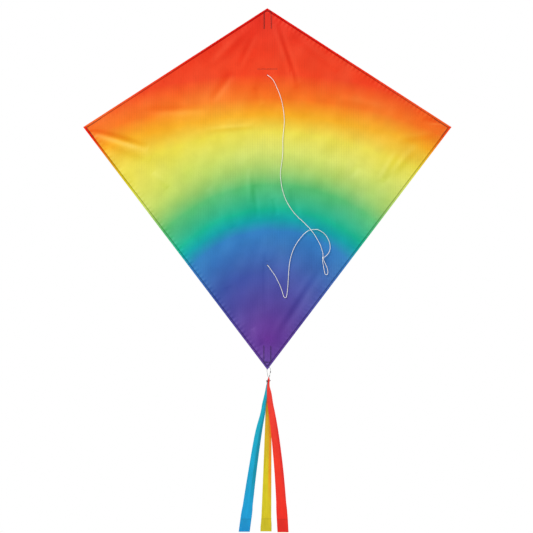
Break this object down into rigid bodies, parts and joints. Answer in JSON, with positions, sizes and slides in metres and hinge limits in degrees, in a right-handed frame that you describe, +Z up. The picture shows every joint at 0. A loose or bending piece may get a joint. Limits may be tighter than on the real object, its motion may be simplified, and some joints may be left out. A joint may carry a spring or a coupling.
{
  "type": "diamond kite",
  "caption": "Flat single-line diamond kite: cloth sail on a spine and folding cross spar, thread bridle with a tow loop, and ribbon tails on a wire clip.",
  "frame": {"origin": "where the cross spar passes the spine, on the middle of both rods", "axes": "+X to the right wing tip as the sail is faced, +Z up the spine to the nose, -Y out of the sail's face"},
  "size_m": [0.762, 0.0138, 1.0849],
  "materials": {
    "sail_cloth": "ripstop with a printed colour fade, slight sheen",
    "pocket_cloth": "woven polyester",
    "tip_cloth": "woven polyester",
    "tail_cloth": "woven polyester",
    "fibreglass": "drawn glass fibre rod, satin",
    "soft_vinyl": "soft milky vinyl",
    "white_thread": "twisted polyester line",
    "dark_thread": "sewing thread",
    "clip_wire": "bright drawn wire",
    "blue_ribbon": "woven nylon",
    "yellow_ribbon": "woven nylon",
    "red_ribbon": "woven nylon"
  },
  "bodies": {
    "kite": {"sail_centre": "sail_cloth", "nose_pocket": "pocket_cloth", "tail_pocket": "tail_cloth", "spine": "fibreglass", "spine_cap_nose": "soft_vinyl", "spine_cap_tail": "soft_vinyl", "centre_fitting": "soft_vinyl", "bridle_patch_upper": "pocket_cloth", "bridle_patch_lower": "tail_cloth", "bridle_knot_upper": "white_thread", "bridle_knot_lower": "white_thread", "tail_loop": "tail_cloth"},
    "left_wing": {"sail_left": "sail_cloth", "tip_pocket_left": "tip_cloth", "spar_left": "fibreglass", "spar_cap_left": "soft_vinyl"},
    "right_wing": {"sail_right": "sail_cloth", "tip_pocket_right": "tip_cloth", "spar_right": "fibreglass", "spar_cap_right": "soft_vinyl", "bridle_upper": "white_thread", "bridle_lower": "white_thread", "tow_loop": "white_thread", "tow_knot": "white_thread"},
    "tail_snap": {"snap_wire": "clip_wire", "snap_rivet": "clip_wire", "snap_clasp": "clip_wire", "ribbon_loop": "red_ribbon", "ribbon_stitch": "dark_thread"},
    "snap_latch": {"snap_gate": "clip_wire"},
    "left_ribbon": {"ribbon_left": "blue_ribbon"},
    "middle_ribbon": {"ribbon_middle": "yellow_ribbon"},
    "right_ribbon": {"ribbon_right": "red_ribbon"}
  },
  "joints": [
    {"name": "left_wing_fold", "type": "hinge", "parent": "kite", "child": "left_wing", "pos_m": [-0.01, 0, 0], "axis": [0, 0, -1], "range_deg": [0, 90], "stiffness_Nm_per_rad": 0.25, "deforming": ["centre_fitting", "bridle_patch_upper"]},
    {"name": "right_wing_fold", "type": "hinge", "parent": "kite", "child": "right_wing", "pos_m": [0.01, 0, 0], "axis": [0, 0, 1], "range_deg": [0, 90], "stiffness_Nm_per_rad": 0.25, "deforming": ["centre_fitting", "bridle_patch_upper"]},
    {"name": "tail_swing", "type": "hinge", "parent": "kite", "child": "tail_snap", "pos_m": [0.003, 0, -0.49755], "axis": [1, 0, 0], "range_deg": [-25, 80]},
    {"name": "snap_gate_open", "type": "hinge", "parent": "tail_snap", "child": "snap_latch", "pos_m": [0.0047, -0.0012, -0.51495], "axis": [0, -1, 0], "range_deg": [0, 18], "stiffness_Nm_per_rad": 0.0005},
    {"name": "left_ribbon_swing", "type": "hinge", "parent": "tail_snap", "child": "left_ribbon", "pos_m": [0.003, 0, -0.52475], "axis": [0, 1, 0], "range_deg": [-35, 30], "stiffness_Nm_per_rad": 0.02},
    {"name": "middle_ribbon_swing", "type": "hinge", "parent": "tail_snap", "child": "middle_ribbon", "pos_m": [0.003, 0, -0.52475], "axis": [0, 1, 0], "range_deg": [-30, 30], "stiffness_Nm_per_rad": 0.02},
    {"name": "right_ribbon_swing", "type": "hinge", "parent": "tail_snap", "child": "right_ribbon", "pos_m": [0.003, 0, -0.52475], "axis": [0, 1, 0], "range_deg": [-30, 35], "stiffness_Nm_per_rad": 0.02}
  ]
}
